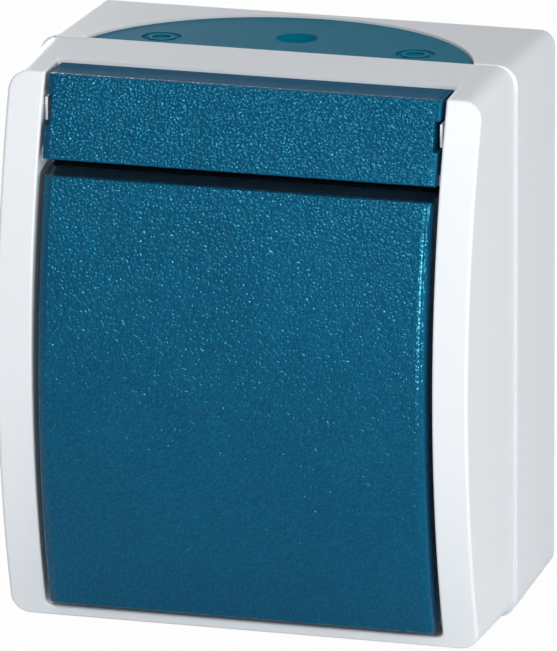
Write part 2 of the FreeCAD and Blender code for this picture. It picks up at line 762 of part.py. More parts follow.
def make_name_strip():
    """Strip whose front follows the arch of the rails, open behind, with end notches."""
    body = new_body("strip_solid")
    back = "bay_reach + strip_seam"
    top = "strip_top"
    shelf = "well_top + divider_height + strip_seam"
    corners = [(back, top), ("0", top), ("0", "strip_bottom"),
               ("divider_reach + strip_seam", "strip_bottom"),
               ("divider_reach + strip_seam", shelf), (back, shelf)]
    arc = (1, "front_reach - front_radius", "front_centre_height", "front_radius", 0.48, 0.34)
    sketch = outline(body, "strip_profile", "side", corners, arc=arc)
    half = "strip_half_width"
    shape = pad(body, sketch, "2 * strip_half_width", symmetric=True)
    whole = shape.Shape.BoundBox
    front = edges_where(shape.Shape, lambda edge: edge.BoundBox.YMax < -dimensions["bay_reach"] - 1
                        and (edge.BoundBox.ZMax > whole.ZMax - 0.01
                             or edge.BoundBox.YMax < whole.YMin + 0.01))
    dress(body, "Fillet", "strip_edges", shape, front, "Radius", "strip_edge_radius")
    room_body = new_body("strip_room")
    room_corners = [("bay_reach - strip_thickness", top + " - strip_thickness"),
                    ("0", top + " - strip_thickness"), ("0", shelf + " - strip_thickness"),
                    ("bay_reach - strip_thickness", shelf + " - strip_thickness")]
    arc = (1, "front_reach - front_radius", "front_centre_height",
           "front_radius - strip_thickness", 0.46, 0.34)
    sketch = outline(room_body, "strip_room_profile", "side", room_corners, arc=arc)
    pad(room_body, sketch, "2 * (%s - strip_thickness)" % half, symmetric=True)
    notches = []
    for sign, word in (("-", "left"), ("", "right")):
        near = "%s(%s - notch_depth)" % (sign, half)
        away = "%s(%s + notch_depth)" % (sign, half)
        left, right = (away, near) if sign else (near, away)
        notches.append(block("notch_" + word, left, right, "bay_reach - strip_thickness", far,
                             "notch_centre - notch_height / 2", "notch_centre + notch_height / 2"))
    return cut("name_strip", body, [room_body] + notches)


def make_rocker():
    """Rocker shell, arched like the rails, with a bevelled top, ribs and two snap legs."""
    centre = "front_reach + rocker_stand - front_radius"
    centre_height = "front_centre_height - rocker_lean"
    body = new_body("rocker_blank")
    crest = "rocker_top + rocker_chamfer_rise"
    corners = [("rocker_rear_top", crest), ("rocker_chamfer_reach", crest), ("0", "rocker_top"),
               ("0", "rocker_bottom"), ("rocker_rear_bottom", "rocker_bottom")]
    arc = (2, centre, centre_height, "front_radius", 0.31, -0.46)
    sketch = outline(body, "rocker_profile", "side", corners, arc=arc)
    shape = pad(body, sketch, "2 * rocker_half_width", symmetric=True)
    whole = shape.Shape.BoundBox
    sides = edges_where(shape.Shape, lambda edge: edge.BoundBox.ZLength > whole.ZLength / 2
                        and edge.BoundBox.YMin < -dimensions["front_reach"])
    shape = dress(body, "Fillet", "rocker_side_edges", shape, sides, "Radius",
                  "rocker_edge_radius")
    level = min(vertex.Z for vertex in shape.Shape.Vertexes)
    bottom = edges_where(shape.Shape, lambda edge: edge.BoundBox.ZMax < level + 0.1
                         and edge.BoundBox.YMax < -dimensions["rocker_rear_bottom"] - 0.1
                         and edge.BoundBox.XLength > whole.XLength / 2)
    dress(body, "Fillet", "rocker_bottom_edge", shape, bottom, "Radius",
          "rocker_edge_radius / 3")
    room = new_body("rocker_room")
    room_corners = [("web_back", crest + " - rocker_wall"),
                    ("rocker_chamfer_reach - rocker_wall / 2", crest + " - rocker_wall"),
                    ("0", "rocker_top - rocker_wall"),
                    ("0", "rocker_bottom + rocker_wall"),
                    ("web_back", "rocker_bottom + rocker_wall")]
    arc = (2, centre, centre_height, "front_radius - rocker_wall", 0.29, -0.44)
    sketch = outline(room, "rocker_room_profile", "side", room_corners, arc=arc)
    pad(room, sketch, "2 * (rocker_half_width - rocker_wall)", symmetric=True)
    corner_cuts = []
    for sign, angle in (("-", 45), ("", -45)):
        item = doc.addObject("Part::Box", "rocker_corner" + ("_left" if sign else "_right"))
        item.Placement.Rotation = FreeCAD.Rotation(FreeCAD.Vector(0, 1, 0), -angle)
        bind(item, "Length", "4 * rocker_corner_cut")
        bind(item, "Width", far)
        bind(item, "Height", "4 * rocker_corner_cut")
        step = "4 * rocker_corner_cut / sqrt(2)"
        corner = "%srocker_half_width" % sign
        inward = "+" if sign else "-"
        if sign:
            place(item, corner + " - " + step, far, crest + " - rocker_corner_cut")
        else:
            place(item, corner, far, crest + " - rocker_corner_cut")
        corner_cuts.append(item)
    hollow = cut("rocker_shell", body, [room] + corner_cuts)
    ribs = []
    for sign, word in (("-", "left"), ("", "right")):
        middle = "%srib_offset" % sign
        ribs.append(block("rib_" + word, middle + " - rib_thickness / 2",
                          middle + " + rib_thickness / 2", "rib_reach", far,
                          "rocker_bottom + 3 * rocker_wall", "rocker_top - 3 * rocker_wall"))
    inner = new_body("rocker_inner_face")
    sketch = outline(inner, "rocker_inner_profile", "side", [
        ("web_back", "rocker_top - rocker_wall"), ("0", "rocker_top - rocker_wall"),
        ("0", "rocker_bottom + rocker_wall"), ("web_back", "rocker_bottom + rocker_wall")],
        arc=(1, centre, centre_height, "front_radius - rocker_wall / 4", 0.29, -0.44))
    pad(inner, sketch, "2 * rocker_half_width", symmetric=True)
    legs = []
    for sign, word in (("-", "lower"), ("+", "upper")):
        near = "pivot_height %s (leg_offset - leg_thickness / 2)" % sign
        away = "pivot_height %s (leg_offset + leg_thickness / 2)" % sign
        hook = "pivot_height %s (leg_offset + leg_thickness / 2 + hook_height)" % sign
        low_side, high_side = (away, near) if sign == "-" else (near, away)
        low_hook, high_hook = (hook, near) if sign == "-" else (near, hook)
        legs.append(block("leg_" + word, "-leg_width / 2", "leg_width / 2",
                          "toggle_plate_back - fit_gap - 2 * hook_height", far,
                          low_side, high_side))
        legs.append(block("hook_" + word, "-leg_width / 2", "leg_width / 2",
                          "toggle_plate_back - fit_gap - 2 * hook_height",
                          "toggle_plate_back - fit_gap", low_hook, high_hook))
    leg_pair = turned(fused("leg_pair", legs), "-swing / 2", "pivot_reach", "pivot_height")
    inside_parts = common("rocker_inside_parts", fused("rocker_parts", ribs + [leg_pair]), inner)
    return fused("rocker", [hollow, inside_parts])


def make_splash_seal():
    """Soft frame that stands on the bearing frame and seals against the cover's web."""
    half = "cap_width / 2 - fit_gap"
    tall = "cap_height / 2 - fit_gap"
    tube = rounded_block("seal_tube", half, "pivot_height - (%s)" % tall,
                         "pivot_height + %s" % tall, "cap_front", "web_back", "inner_radius")
    lip = rounded_block("seal_lip_plate", half + " + seal_lip",
                        "pivot_height - (%s) - seal_lip / 4" % tall,
                        "pivot_height + %s + seal_lip / 4" % tall,
                        "web_back - seal_lip_thickness", "web_back", "inner_radius")
    room = rounded_block("seal_room", half + " - seal_wall",
                         "pivot_height - (%s) + seal_wall" % tall,
                         "pivot_height + %s - seal_wall" % tall, "base_back", far, "inner_radius / 2")
    return cut("splash_seal", fused("seal_solid", [tube, lip]), [room])


def make_insert_base():
    """Moulded base with a chamber for the blade, chambers for the terminals and two ears."""
    low = "pivot_height - base_height / 2"
    high = "pivot_height + base_height / 2"
    solid = rounded_block("base_block", "base_half_width", low, high, "base_back", "base_front",
                          "base_radius")
    ears = rounded_block("base_ears", "ear_half_width", "pivot_height - ear_height / 2",
                         "pivot_height + ear_height / 2", "base_front - ear_thickness",
                         "base_front", "base_radius")
    rooms = [block("blade_chamber", "-chamber_width / 2", "chamber_width / 2", "chamber_reach", far,
                   "pivot_height - chamber_height / 2", "pivot_height + chamber_height / 2")]
    room_out = "terminal_outer + chamber_margin"
    room_in = "terminal_inner - sheet_thickness - chamber_margin / 2"
    for word, sign in outputs:
        middle = "pivot_height %s terminal_offset" % sign
        arm = "pivot_height %s contact_offset" % sign
        rooms.append(block("terminal_room_" + word, room_in, room_out, "chamber_reach", far,
                           middle + " - terminal_height / 2 - chamber_margin",
                           middle + " + terminal_height / 2 + chamber_margin"))
        rooms.append(block("arm_room_" + word, "0", "terminal_inner", "chamber_reach", far,
                           arm + " - arm_width / 2 - chamber_margin",
                           arm + " + arm_width / 2 + chamber_margin"))
        wire_end = "%s base_height" % sign
        wire_low, wire_high = ((middle + " " + wire_end, middle) if sign == "-"
                               else (middle, middle + " " + wire_end))
        rooms.append(block("wire_way_" + word, "terminal_inner + sheet_thickness / 2", room_out,
                           "base_front - terminal_screw_length", "base_front - terminal_head_height"
                           " - sheet_thickness", wire_low, wire_high))
    rooms.append(block("terminal_room_common", "-(%s)" % room_out, "-(%s)" % room_in,
                       "chamber_reach", far,
                       "pivot_height - terminal_height / 2 - chamber_margin",
                       "pivot_height + terminal_height / 2 + chamber_margin"))
    rooms.append(block("arm_room_common", "-terminal_inner", "0", "chamber_reach", far,
                       "pivot_height - arm_width / 2 - chamber_margin",
                       "pivot_height + arm_width / 2 + chamber_margin"))
    rooms.append(block("wire_way_common", "-(%s)" % room_out, "-terminal_inner - sheet_thickness / 2",
                       "base_front - terminal_screw_length",
                       "base_front - terminal_head_height - sheet_thickness",
                       "pivot_height", "pivot_height + base_height"))
    for number, (across, height) in enumerate(ear_places):
        rooms.append(rod("ear_hole_%d" % number, "screw_radius + fit_gap",
                         "base_front - 2 * ear_thickness", far, across, height))
    return cut("insert_base", fused("base_solid", [solid, ears]), rooms)


def make_insert_cap():
    """Bearing frame with two cheeks that hold the toggle's trunnions."""
    tall = "cap_height / 2"
    plate = rounded_block("cap_plate", "cap_width / 2", "pivot_height - " + tall,
                          "pivot_height + " + tall, "base_front", "cap_front", "base_radius")
    added = [plate]
    cheek_front = "pivot_reach + cheek_margin"
    for sign, word in (("-", "left"), ("", "right")):
        near = sign + "cheek_inner"
        away = sign + "cheek_outer"
        left, right = (away, near) if sign else (near, away)
        added.append(block("cheek_" + word, left, right, "base_front + cap_thickness / 2",
                           cheek_front, "pivot_height - cheek_height / 2",
                           "pivot_height + cheek_height / 2"))
    for sign, word in (("-", "low"), ("+", "high")):
        near = "pivot_height %s (chamber_height / 2 - fit_gap - cap_thickness / 2)" % sign
        away = "pivot_height %s (chamber_height / 2 - fit_gap)" % sign
        low, high = (away, near) if sign == "-" else (near, away)
        added.append(block("cap_lug_" + word, "-cap_window_width / 3", "cap_window_width / 3",
                           "base_front - 2 * cap_thickness", "base_front + cap_thickness / 2",
                           low, high))
    holes = [
        block("cap_window", "-cap_window_width / 2", "cap_window_width / 2", "base_back", far,
              "pivot_height - cap_window_height / 2", "pivot_height + cap_window_height / 2"),
        shaft("cheek_bore", "trunnion_radius + trunnion_gap", "-base_half_width", "base_half_width",
              "pivot_reach", "pivot_height"),
    ]
    return cut("insert_cap", fused("cap_solid", added), holes)


def make_toggle():
    """Seesaw that turns in the cheeks, modelled level and then tipped to its rest place."""
    half = "toggle_plate_height / 2"
    plate = rounded_block("toggle_plate", "toggle_plate_width / 2", "pivot_height - " + half,
                          "pivot_height + " + half, "toggle_plate_back",
                          "toggle_plate_back + toggle_plate_thickness", "base_radius")
    hub_half = "cheek_inner - fit_gap"
    hub = block("toggle_hub", "-(%s)" % hub_half, hub_half, "hub_back",
                "toggle_plate_back + toggle_plate_thickness / 2",
                "pivot_height - hub_height / 2", "pivot_height + hub_height / 2")
    pin = shaft("toggle_trunnions", "trunnion_radius", "-cheek_outer + strip_seam",
                "cheek_outer - strip_seam", "pivot_reach", "pivot_height")
    stem = rod("toggle_stem", "stem_radius", "stem_back", "pivot_reach", "0", "pivot_height")
    holes = [rod("toggle_bore", "stem_bore_radius", "base_back", "stem_bore_front", "0",
                 "pivot_height")]
    for sign, word in (("-", "lower"), ("+", "upper")):
        middle = "pivot_height %s leg_offset" % sign
        holes.append(block("leg_slot_" + word, "-leg_width / 2 - leg_slot_gap",
                           "leg_width / 2 + leg_slot_gap", "pivot_reach", far,
                           middle + " - leg_thickness / 2 - leg_slot_gap",
                           middle + " + leg_thickness / 2 + leg_slot_gap"))
    level = cut("toggle", fused("toggle_solid", [plate, hub, pin, stem]), holes)
    return turned(level, "-swing / 2", "pivot_reach", "pivot_height")


def make_plunger():
    body = rod("plunger_pin", "plunger_radius", "plunger_tip + plunger_radius", "plunger_front",
               "0", "pivot_height")
    tip = doc.addObject("Part::Sphere", "plunger_ball")
    bind(tip, "Radius", "plunger_radius")
    place(tip, "0", "plunger_tip + plunger_radius", "pivot_height")
    return turned(fused("plunger", [body, tip]), "-swing / 2", "pivot_reach", "pivot_height")


def make_plunger_spring():
    """Coil between the plunger and the end of the stem's bore."""
    back = "plunger_front + spring_wire_radius"
    helix = doc.addObject("Part::Helix", "spring_line")
    bind(helix, "Radius", "spring_radius")
    bind(helix, "Pitch", "spring_pitch")
    bind(helix, "Height", "stem_bore_front - plunger_front - 2 * spring_wire_radius")
    wire = doc.addObject("Part::Circle", "spring_wire")
    bind(wire, "Radius", "spring_wire_radius")
    wire.Placement.Rotation = FreeCAD.Rotation(FreeCAD.Vector(1, 0, 0), 90)
    bind(wire, "Placement.Base.x", "spring_radius")
    coil = doc.addObject("Part::Sweep", "spring_coil")
    coil.Sections = [wire]
    coil.Spine = (helix, ["Edge1"])
    coil.Solid = True
    coil.Frenet = True
    group_item = group("spring_upright", [coil])
    group_item.Placement.Rotation = FreeCAD.Rotation(FreeCAD.Vector(1, 0, 0), 90)
    place(group_item, "0", back, "pivot_height")
    return turned(group("plunger_spring", [group_item]), "-swing / 2", "pivot_reach",
                  "pivot_height")


def make_moving_contact():
    """Copper blade in a shallow V, tipped to its rest place about the knife edge."""
    body = new_body("blade_body")
    low = "pivot_height - blade_half_length"
    high = "pivot_height + blade_half_length"
    corners = [("blade_reach", "pivot_height"), ("blade_reach + blade_rise", high),
               ("blade_reach + blade_rise + blade_thickness", high),
               ("blade_reach + blade_thickness", "pivot_height"),
               ("blade_reach + blade_rise + blade_thickness", low),
               ("blade_reach + blade_rise", low)]
    pad(body, outline(body, "blade_profile", "side", corners), "blade_width", symmetric=True)
    return turned(group("moving_contact", [body]), "swing", "blade_reach", "pivot_height")


def make_contact_tips():
    """Silver tips under the blade, which move with it, and the fixed ones on the arms."""
    moving = []
    fixed = []
    for word, sign in outputs:
        slope = "atan(blade_rise / blade_half_length)"
        tip = rod("moving_tip_" + word, "contact_radius", "blade_reach - contact_thickness",
                  "blade_reach", "0", "pivot_height %s contact_offset" % sign)
        leaning = group("moving_tip_leaning_" + word, [tip])
        turned(leaning, "%s(%s)" % ("-" if sign == "-" else "", slope), "blade_reach",
               "pivot_height")
        moving.append(leaning)
        fixed.append(rod("fixed_tip_" + word, "contact_radius", "chamber_reach + sheet_thickness",
                         "fixed_tip_front", "0", "pivot_height %s contact_offset" % sign))
    pair = turned(group("moving_contact_tips", moving), "swing", "blade_reach", "pivot_height")
    return pair, group("fixed_contact_tips", fixed)


def terminal_pieces(word, side, middle, arm_middle, arm_end):
    """Arm on the chamber floor, upright leg and the flange under the screw head."""
    flange_front = "base_front - terminal_head_height"
    inner = "terminal_inner"

    def spread(near, away):
        if side == "+":
            return near, away
        return "-(%s)" % away, "-(%s)" % near

    arm_left, arm_right = spread("-(%s)" % arm_end, inner)
    leg_left, leg_right = spread(inner + " - sheet_thickness", inner)
    flange_left, flange_right = spread(inner + " - sheet_thickness", "terminal_outer")
    half = "terminal_height / 2"
    arm_low = "%s - arm_width / 2" % arm_middle
    arm_high = "%s + arm_width / 2" % arm_middle
    arm = block("arm_" + word, arm_left, arm_right, "chamber_reach",
                "chamber_reach + sheet_thickness", arm_low, arm_high)
    leg = block("leg_strip_" + word, leg_left, leg_right, "chamber_reach", flange_front,
                arm_low, arm_high)
    flange = block("flange_" + word, flange_left, flange_right, flange_front + " - sheet_thickness",
                   flange_front, middle + " - " + half, middle + " + " + half)
    screw_across = "%s(terminal_inner + terminal_outer) / 2" % ("-" if side == "-" else "")
    hole = rod("flange_hole_" + word, "terminal_screw_radius + trunnion_gap", "chamber_reach", far,
               screw_across, middle)
    return [arm, leg, flange], hole, screw_across


def make_terminals():
    """Three terminals with their screws and clamp plates."""
    nodes = []
    screws = []
    clamps = []
    flange_front = "base_front - terminal_head_height"
    rows = [("output_terminal_" + word, "+", "pivot_height %s terminal_offset" % sign,
             "pivot_height %s contact_offset" % sign, "arm_width / 2") for word, sign in outputs]
    rows.append(("common_terminal", "-", "pivot_height", "pivot_height", "knife_width / 2"))
    for name, side, middle, arm_middle, arm_end in rows:
        pieces, hole, screw_across = terminal_pieces(name, side, middle, arm_middle, arm_end)
        if name == "common_terminal":
            knife = new_body("knife_edge")
            corners = [("chamber_reach + sheet_thickness / 2", "pivot_height + sheet_thickness"),
                       ("chamber_reach + sheet_thickness / 2", "pivot_height - sheet_thickness"),
                       ("blade_reach - knife_gap", "pivot_height")]
            pad(knife, outline(knife, "knife_profile", "side", corners), "knife_width",
                symmetric=True)
            pieces.append(knife)
        nodes.append(cut(name, fused(name + "_solid", pieces), [hole]))
        shank = rod("shank_" + name, "terminal_screw_radius",
                    flange_front + " - terminal_screw_length", flange_front, screw_across, middle)
        head = rod("head_" + name, "terminal_head_radius", flange_front, "base_front",
                   screw_across, middle)
        drive = block("drive_" + name, screw_across + " - terminal_head_radius * 2",
                      screw_across + " + terminal_head_radius * 2",
                      "base_front - terminal_head_height / 2", far,
                      middle + " - sheet_thickness / 2", middle + " + sheet_thickness / 2")
        screws.append(cut("terminal_screw_" + name, fused("screw_solid_" + name, [shank, head]),
                          [drive]))
        clamp_front = flange_front + " - sheet_thickness - clamp_gap"
        plate = block("clamp_plate_" + name,
                      screw_across + " - (terminal_outer - terminal_inner) / 2 + fit_gap",
                      screw_across + " + (terminal_outer - terminal_inner) / 2 - fit_gap",
                      clamp_front + " - clamp_thickness", clamp_front,
                      middle + " - terminal_height / 2 + fit_gap",
                      middle + " + terminal_height / 2 - fit_gap")
        clamp_hole = rod("clamp_hole_" + name, "terminal_screw_radius + trunnion_gap",
                         "chamber_reach", far, screw_across, middle)
        clamps.append(cut("terminal_clamp_" + name, plate, [clamp_hole]))
    return nodes + [group("terminal_screws", screws), group("terminal_clamps", clamps)]


def pan_screws(name, places, head_back):
    """Pan-head screws with a slot, all with the same head seat."""
    screws = []
    for number, (across, height) in enumerate(places):
        head_front = "%s + screw_head_height" % head_back
        shank = rod("%s_shank_%d" % (name, number), "screw_radius",
                    "%s - screw_length" % head_back, head_back, across, height)
        head = rod("%s_head_%d" % (name, number), "screw_head_radius", head_back, head_front,
                   across, height)
        drive = block("%s_drive_%d" % (name, number), across + " - 2 * screw_head_radius",
                      across + " + 2 * screw_head_radius",
                      head_front + " - screw_head_height / 2", far,
                      height + " - sheet_thickness / 2", height + " + sheet_thickness / 2")
        solid = fused("%s_solid_%d" % (name, number), [shank, head])
        screws.append(cut("%s_%d" % (name, number), solid, [drive]))
    return group(name, screws)


def make_earth_terminal():
    """Loose brass block with a cross bore and two grub screws, in its holder on the floor."""
    back = "floor_thickness"
    front = "floor_thickness + earth_depth"
    solid = block("earth_block", "earth_across - earth_width / 2", "earth_across + earth_width / 2",
                  back, front, "earth_height - earth_length / 2", "earth_height + earth_length / 2")
    bore = shaft("earth_bore", "earth_bore_radius", "-case_width", "case_width",
                 "floor_thickness + earth_depth / 2", "earth_height")
    threads = []
    screws = []
    for sign, word in (("-", "left"), ("+", "right")):
        across = "earth_across %s earth_screw_offset" % sign
        threads.append(rod("earth_thread_" + word, "earth_screw_radius + trunnion_gap",
                           "floor_thickness + earth_depth / 2", far, across, "earth_height"))
        screw = rod("earth_screw_" + word, "earth_screw_radius",
                    "floor_thickness + earth_depth / 2 + earth_bore_radius", front, across,
                    "earth_height")
        drive = block("earth_drive_" + word, across + " - 2 * earth_screw_radius",
                      across + " + 2 * earth_screw_radius", front + " - sheet_thickness", far,
                      "earth_height - sheet_thickness / 4", "earth_height + sheet_thickness / 4")
        screws.append(cut("earth_grub_" + word, screw, [drive]))
    return [cut("earth_terminal", solid, [bore] + threads), group("earth_terminal_screws", screws)]


box_outside = make_outer_block()
tongue_ring = make_tongue_ring()
moving_tips, fixed_tips = make_contact_tips()
boss_seat = "web_back - cover_boss_length + counterbore_floor"
nodes = [
    make_rear_box(box_outside, tongue_ring),
    make_cable_entry_insert(box_outside, tongue_ring),
    make_rim_gasket(),
    make_front_cover(),
    make_name_strip(),
    make_rocker(),
    make_splash_seal(),
    pan_screws("cover_screws", cover_post_places, boss_seat),
    make_insert_base(),
    make_insert_cap(),
    pan_screws("insert_screws", ear_places, "base_front"),
    make_toggle(),
    make_plunger(),
    make_plunger_spring(),
    make_moving_contact(),
    moving_tips,
    fixed_tips,
]
nodes += make_terminals()
nodes += make_earth_terminal()
doc.recompute()

# Nothing is written unless every object and every piece is sound
failed = [item.Name for item in doc.Objects if {"Invalid", "Error"} & set(item.State)]
if failed:
    raise RuntimeError("failed objects: " + ", ".join(failed))
for node in nodes:
    if node.Shape.isNull() or not node.Shape.isValid() or not node.Shape.Solids:
        raise RuntimeError("unsound piece: " + node.Label)

os.makedirs("parts", exist_ok=True)
for node in nodes:
    node.Shape.exportStep("parts/%s.step" % node.Label)
    box = node.Shape.BoundBox
    print("%-24s solids %d volume %8.1f  X %.2f %.2f  Y %.2f %.2f  Z %.2f %.2f" % (
        node.Label, len(node.Shape.Solids), node.Shape.Volume, box.XMin, box.XMax,
        box.YMin, box.YMax, box.ZMin, box.ZMax))
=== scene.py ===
import json
import math

import bmesh
import bpy
from mathutils import Matrix, Vector


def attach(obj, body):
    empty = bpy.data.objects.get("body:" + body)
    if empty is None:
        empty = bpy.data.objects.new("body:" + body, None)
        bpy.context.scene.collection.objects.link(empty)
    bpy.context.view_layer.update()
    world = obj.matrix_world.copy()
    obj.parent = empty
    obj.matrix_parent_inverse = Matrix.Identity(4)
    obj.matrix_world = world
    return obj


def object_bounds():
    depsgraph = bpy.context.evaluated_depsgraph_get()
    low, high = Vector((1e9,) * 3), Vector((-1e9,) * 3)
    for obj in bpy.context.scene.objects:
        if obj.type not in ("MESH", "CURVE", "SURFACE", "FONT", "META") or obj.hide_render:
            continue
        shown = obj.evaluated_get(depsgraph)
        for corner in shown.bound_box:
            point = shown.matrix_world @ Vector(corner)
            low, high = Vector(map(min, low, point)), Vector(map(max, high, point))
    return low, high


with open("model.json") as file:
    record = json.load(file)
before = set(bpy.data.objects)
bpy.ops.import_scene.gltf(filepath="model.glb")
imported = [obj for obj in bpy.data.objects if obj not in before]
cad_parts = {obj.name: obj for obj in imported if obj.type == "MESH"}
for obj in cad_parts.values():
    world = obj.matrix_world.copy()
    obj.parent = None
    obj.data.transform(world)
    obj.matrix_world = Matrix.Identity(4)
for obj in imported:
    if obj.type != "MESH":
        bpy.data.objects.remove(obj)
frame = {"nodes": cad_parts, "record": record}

cadLow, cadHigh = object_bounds()
scene = bpy.context.scene
scene.view_settings.view_transform = "Standard"
print("frame loaded:", len(frame["nodes"]), "nodes")


# Camera at the photograph's angle, a long lens from far away
cameraSetup = {
    "azimuth": 16.29,            # degrees to the right of straight in front
    "elevation": 16.08,          # degrees above level
    "roll": -0.26,
    "distance": 1.58933,
    "target": (0.00052, -0.025, 0.00062),
    "lens": 639.42,
    "clip": (0.05, 50),
}


def makeCamera(setup):
    azimuth, elevation, roll = (math.radians(setup[key]) for key in ("azimuth", "elevation", "roll"))
    level = math.cos(elevation)
    back = Vector((math.sin(azimuth) * level, -math.cos(azimuth) * level, math.sin(elevation)))
    right = Vector((math.cos(azimuth), math.sin(azimuth), 0))
    up = back.cross(right)
    rolledRight = right * math.cos(roll) + up * math.sin(roll)
    rolledUp = up * math.cos(roll) - right * math.sin(roll)
    turn = Matrix((rolledRight, rolledUp, back)).transposed()
    place = Vector(setup["target"]) + back * setup["distance"]

    data = bpy.data.cameras.new("camera")
    data.lens = setup["lens"]
    data.clip_start, data.clip_end = setup["clip"]
    camera = bpy.data.objects.new("camera", data)
    camera.matrix_world = Matrix.Translation(place) @ turn.to_4x4()
    scene.collection.objects.link(camera)
    scene.camera = camera


makeCamera(cameraSetup)
print("camera set")


# Short ways to add shader nodes; a socket given as a value is linked, anything else is set
def newNode(tree, kind, inputs=None, **settings):
    node = tree.nodes.new(kind)
    for key, value in settings.items():
        setattr(node, key, value)
    for key, value in (inputs or {}).items():
        if isinstance(value, bpy.types.NodeSocket):
            tree.links.new(value, node.inputs[key])
        else:
            node.inputs[key].default_value = value
    return node


def maths(tree, operation, *values, clamp=False):
    inputs = dict(enumerate(values))
    return newNode(tree, "ShaderNodeMath", inputs, operation=operation, use_clamp=clamp).outputs[0]


def vectorMaths(tree, operation, first, second):
    return newNode(tree, "ShaderNodeVectorMath", {0: first, 1: second}, operation=operation).outputs[0]


def mapRange(tree, value, source=(0.0, 1.0), result=(0.0, 1.0), smooth=False):
    names = ("Value", "From Min", "From Max", "To Min", "To Max")
    inputs = dict(zip(names, (value, *source, *result)))
    blend = "SMOOTHSTEP" if smooth else "LINEAR"
    return newNode(tree, "ShaderNodeMapRange", inputs, interpolation_type=blend).outputs[0]


def noise(tree, place, scale, detail, roughness=0.5):
    inputs = {"Vector": place, "Scale": scale, "Detail": detail, "Roughness": roughness}
    return newNode(tree, "ShaderNodeTexNoise", inputs).outputs


def opaque(colour):
    return (*colour, 1)


def mixColour(tree, factor, first, second):
    # a Mix node set to colours takes them at sockets 6 and 7, and gives them at output 2
    return newNode(tree, "ShaderNodeMix", {0: factor, 6: first, 7: second}, data_type="RGBA").outputs[2]


# Studio: pale floor, white surroundings, soft lamps
studio = {
    "world": (0.95, 0.97, 1.0),
    "worldStrength": 0.315,
    "glossGlow": 0.12,           # share of plain white in what gloss mirrors, over the soft world
    "floor": (0.8, 0.81, 0.82),
    "floorGlow": 0.975,          # share of plain white that the camera sees on the floor
    "floorSize": 12,
    "floorGap": 0.00005,         # from the floor up to the lowest point
    "aim": (0, -0.03, 0),        # every lamp points here
    # name: place, size, watts, colour
    "lamps": {
        "key": ((-0.01, -0.36, 0.22), 0.11, 0.5, (1.0, 1.0, 1.0)),
        "side": ((0.26, -0.32, 0.015), 0.09, 0.46, (1.0, 1.0, 1.0)),
        "flank": ((0.5, -0.17, 0.18), 0.2, 0.68, (1.0, 1.0, 1.0)),
        "top": ((0.1, 0.05, 0.5), 0.2, 0.26, (0.93, 0.97, 1.0)),
        "rear": ((-0.35, 0.6, 0.1), 0.2, 1.2, (1.0, 1.0, 1.0)),
    },
}
plainWhite = {"Color": (1, 1, 1, 1), "Strength": 1.0}


def makeWorld(setup):
    world = bpy.data.worlds.new("studio")
    scene.world = world
    world.use_nodes = True
    tree = world.node_tree
    tree.nodes.clear()
    path = newNode(tree, "ShaderNodeLightPath").outputs
    soft = newNode(tree, "ShaderNodeBackground", {
        "Color": opaque(setup["world"]), "Strength": setup["worldStrength"]})
    white = newNode(tree, "ShaderNodeBackground", plainWhite)
    mirrored = maths(tree, "MAXIMUM", path["Is Glossy Ray"], path["Is Transmission Ray"])
    mirrored = maths(tree, "MULTIPLY", mirrored, setup["glossGlow"])
    seen = maths(tree, "MAXIMUM", path["Is Camera Ray"], mirrored)
    mix = newNode(tree, "ShaderNodeMixShader", {0: seen, 1: soft.outputs[0], 2: white.outputs[0]})
    newNode(tree, "ShaderNodeOutputWorld", {"Surface": mix.outputs[0]})


def makeLamps(setup):
    for name, (place, size, watts, colour) in setup["lamps"].items():
        data = bpy.data.lights.new(name + "Lamp", "AREA")
        data.shape = "DISK"
        data.size = size
        data.energy = watts
        data.color = colour
        lamp = bpy.data.objects.new(name + "Lamp", data)
        facing = (Vector(place) - Vector(setup["aim"])).to_track_quat("Z", "Y")
        lamp.matrix_world = Matrix.Translation(place) @ facing.to_matrix().to_4x4()
        lamp.visible_camera = False
        scene.collection.objects.link(lamp)


def makeFloor(setup):
    bpy.ops.mesh.primitive_plane_add(size=setup["floorSize"], location=(0, 0, cadLow.z - setup["floorGap"]))
    floor = bpy.context.object
    floor.name = "studioFloor"
    material = bpy.data.materials.new("studioFloor")
    material.use_nodes = True
    tree = material.node_tree
    tree.nodes.clear()
    path = newNode(tree, "ShaderNodeLightPath").outputs
    matt = newNode(tree, "ShaderNodeBsdfDiffuse", {"Color": opaque(setup["floor"])})
    glow = newNode(tree, "ShaderNodeEmission", plainWhite)
    share = maths(tree, "MULTIPLY", path["Is Camera Ray"], setup["floorGlow"])
    mix = newNode(tree, "ShaderNodeMixShader", {0: share, 1: matt.outputs[0], 2: glow.outputs[0]})
    newNode(tree, "ShaderNodeOutputMaterial", {"Surface": mix.outputs[0]})
    floor.data.materials.append(material)


makeWorld(studio)
makeLamps(studio)
makeFloor(studio)
print("studio lit")


# Shared surface effects
def newGroup(name, inputs, outputs):
    group = bpy.data.node_groups.new(name, "ShaderNodeTree")
    for socketName, kind in inputs.items():
        group.interface.new_socket(socketName, in_out="INPUT", socket_type="NodeSocket" + kind)
    for socketName in outputs:
        group.interface.new_socket(socketName, in_out="OUTPUT", socket_type="NodeSocketFloat")
    return group, group.nodes.new("NodeGroupInput").outputs, group.nodes.new("NodeGroupOutput").inputs


# Uneven beads, with finer grain on them
beadGrain = {
    "warpScale": 1200.0,
    "warp": 0.0004,              # how far the beads are pushed out of place
    "fineScale": 4200.0,
    "fineShare": 0.1,
    "patchScale": 120.0,
}


